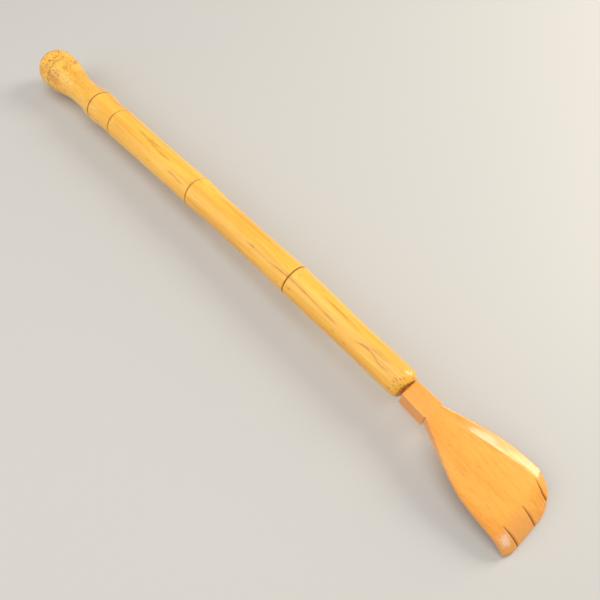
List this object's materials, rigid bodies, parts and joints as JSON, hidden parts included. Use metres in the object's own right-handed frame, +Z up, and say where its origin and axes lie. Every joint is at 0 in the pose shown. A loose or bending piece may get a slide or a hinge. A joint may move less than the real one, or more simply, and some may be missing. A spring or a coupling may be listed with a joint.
{
  "type": "back scratcher",
  "caption": "Slim bamboo back scratcher: a noded culm handle with a rounded root knob, doweled and glued to a flared carved hand with bent fingers.",
  "frame": {"origin": "on the table, under the middle of the footprint, with the scratcher lying on its knob and its finger ends, back of the hand up", "axes": "+X from the knob to the finger ends, +Y to the left, on the side of the rounded corner of the hand, +Z up"},
  "size_m": [0.392, 0.0375, 0.0248],
  "materials": {
    "culm_bamboo": "natural bamboo skin under clear gloss varnish",
    "hand_bamboo": "split bamboo carved and sanded under clear gloss varnish",
    "dowel_bamboo": "bare round bamboo dowel",
    "dried_glue": "dried amber brown wood glue"
  },
  "bodies": {
    "root": {"handle_culm": "culm_bamboo", "hand": "hand_bamboo", "joining_dowel": "dowel_bamboo", "glue_ring": "dried_glue"}
  },
  "joints": []
}
